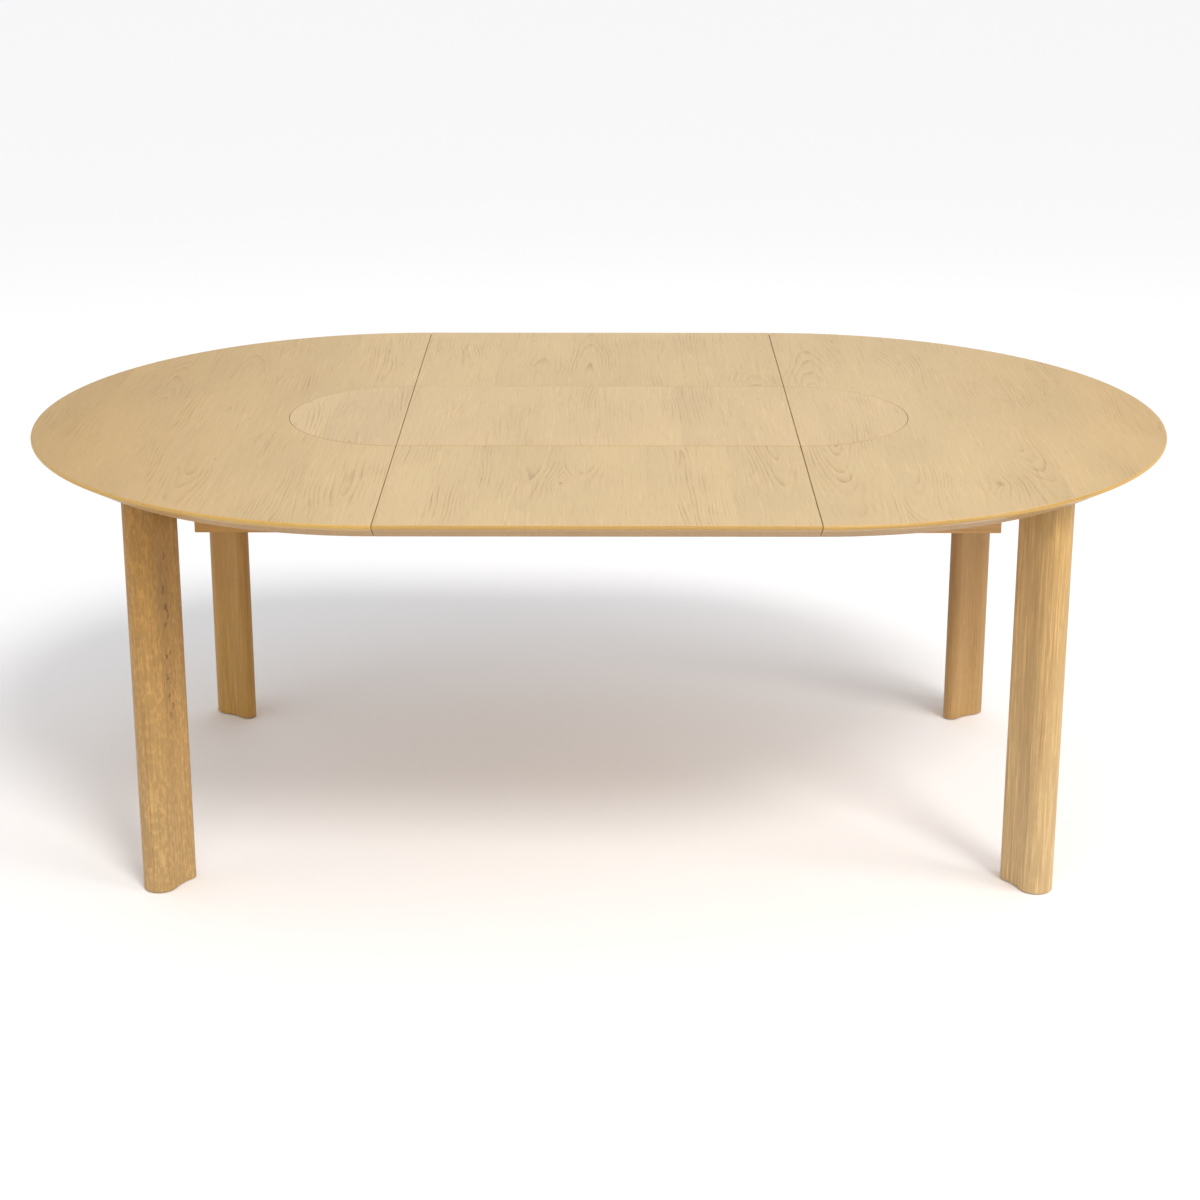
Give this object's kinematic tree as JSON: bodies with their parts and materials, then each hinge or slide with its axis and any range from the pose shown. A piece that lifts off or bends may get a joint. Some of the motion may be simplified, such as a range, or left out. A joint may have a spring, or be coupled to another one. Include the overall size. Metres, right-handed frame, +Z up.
{
  "type": "extendable dining table",
  "caption": "Oak dining table with two half-round tops on flanked legs that slide apart on dovetailed runners, open with a lift-out leaf and a round inlay.",
  "frame": {"origin": "on the floor, under the middle of the open table", "axes": "+X along the open table towards the right half, +Y towards the back, +Z up"},
  "size_m": [1.9998, 1.31, 0.73],
  "materials": {
    "oak_veneer": "matt oiled veneer, grain across the table",
    "oak_lipping": "satin oiled solid oak, grain along the rim",
    "oak_solid": "matt oiled solid oak, grain along the piece",
    "beech": "planed and waxed",
    "black_steel": "black powder coat",
    "zinc_steel": "zinc plated",
    "brass": "machined",
    "nylon": "moulded"
  },
  "bodies": {
    "left_half": {"left_top": "oak_veneer", "left_lipping": "oak_lipping", "left_inlay": "oak_veneer", "left_front_leg": "oak_solid", "left_back_leg": "oak_solid", "left_leg_plates": "black_steel", "left_leg_inserts": "brass", "left_leg_bolts": "zinc_steel", "left_plate_screws": "zinc_steel", "left_glides": "nylon", "left_front_apron": "oak_solid", "left_back_apron": "oak_solid", "left_cross_apron": "oak_solid", "left_apron_blocks": "beech", "left_block_screws": "zinc_steel", "left_front_runner": "beech", "left_back_runner": "beech", "left_runner_screws": "zinc_steel", "left_aligners": "black_steel", "left_aligner_screws": "zinc_steel", "left_latch_pivots": "zinc_steel", "left_keepers": "zinc_steel"},
    "right_half": {"right_top": "oak_veneer", "right_lipping": "oak_lipping", "right_inlay": "oak_veneer", "right_front_leg": "oak_solid", "right_back_leg": "oak_solid", "right_leg_plates": "black_steel", "right_leg_inserts": "brass", "right_leg_bolts": "zinc_steel", "right_plate_screws": "zinc_steel", "right_glides": "nylon", "right_front_apron": "oak_solid", "right_back_apron": "oak_solid", "right_cross_apron": "oak_solid", "right_apron_blocks": "beech", "right_block_screws": "zinc_steel", "right_front_runner": "beech", "right_back_runner": "beech", "right_runner_screws": "zinc_steel", "right_aligners": "black_steel", "right_aligner_screws": "zinc_steel", "right_latch_pivots": "zinc_steel", "runner_stops": "beech"},
    "leaf": {"leaf_panel": "oak_veneer", "leaf_lipping": "oak_lipping", "leaf_inlay": "oak_veneer", "leaf_cleats": "beech", "leaf_cleat_screws": "zinc_steel", "leaf_keepers": "zinc_steel"},
    "left_front_latch": {"left_front_latch": "black_steel"},
    "left_back_latch": {"left_back_latch": "black_steel"},
    "right_front_latch": {"right_front_latch": "black_steel"},
    "right_back_latch": {"right_back_latch": "black_steel"}
  },
  "joints": [
    {"name": "right_half_slide", "type": "slide", "parent": "left_half", "child": "right_half", "axis": [1, 0, 0], "range_m": [0, 0.06]},
    {"name": "leaf_lift", "type": "slide", "parent": "left_half", "child": "leaf", "axis": [0, 0, 1], "range_m": [0, 0.35]},
    {"name": "left_front_latch_turn", "type": "hinge", "parent": "left_half", "child": "left_front_latch", "pos_m": [-0.367, -0.07, 0.6915], "axis": [0, 0, -1], "range_deg": [0, 90]},
    {"name": "left_back_latch_turn", "type": "hinge", "parent": "left_half", "child": "left_back_latch", "pos_m": [-0.367, 0.07, 0.6915], "axis": [0, 0, 1], "range_deg": [0, 90]},
    {"name": "right_front_latch_turn", "type": "hinge", "parent": "right_half", "child": "right_front_latch", "pos_m": [0.367, -0.15, 0.6915], "axis": [0, 0, 1], "range_deg": [0, 90]},
    {"name": "right_back_latch_turn", "type": "hinge", "parent": "right_half", "child": "right_back_latch", "pos_m": [0.367, 0.15, 0.6915], "axis": [0, 0, -1], "range_deg": [0, 90]}
  ]
}
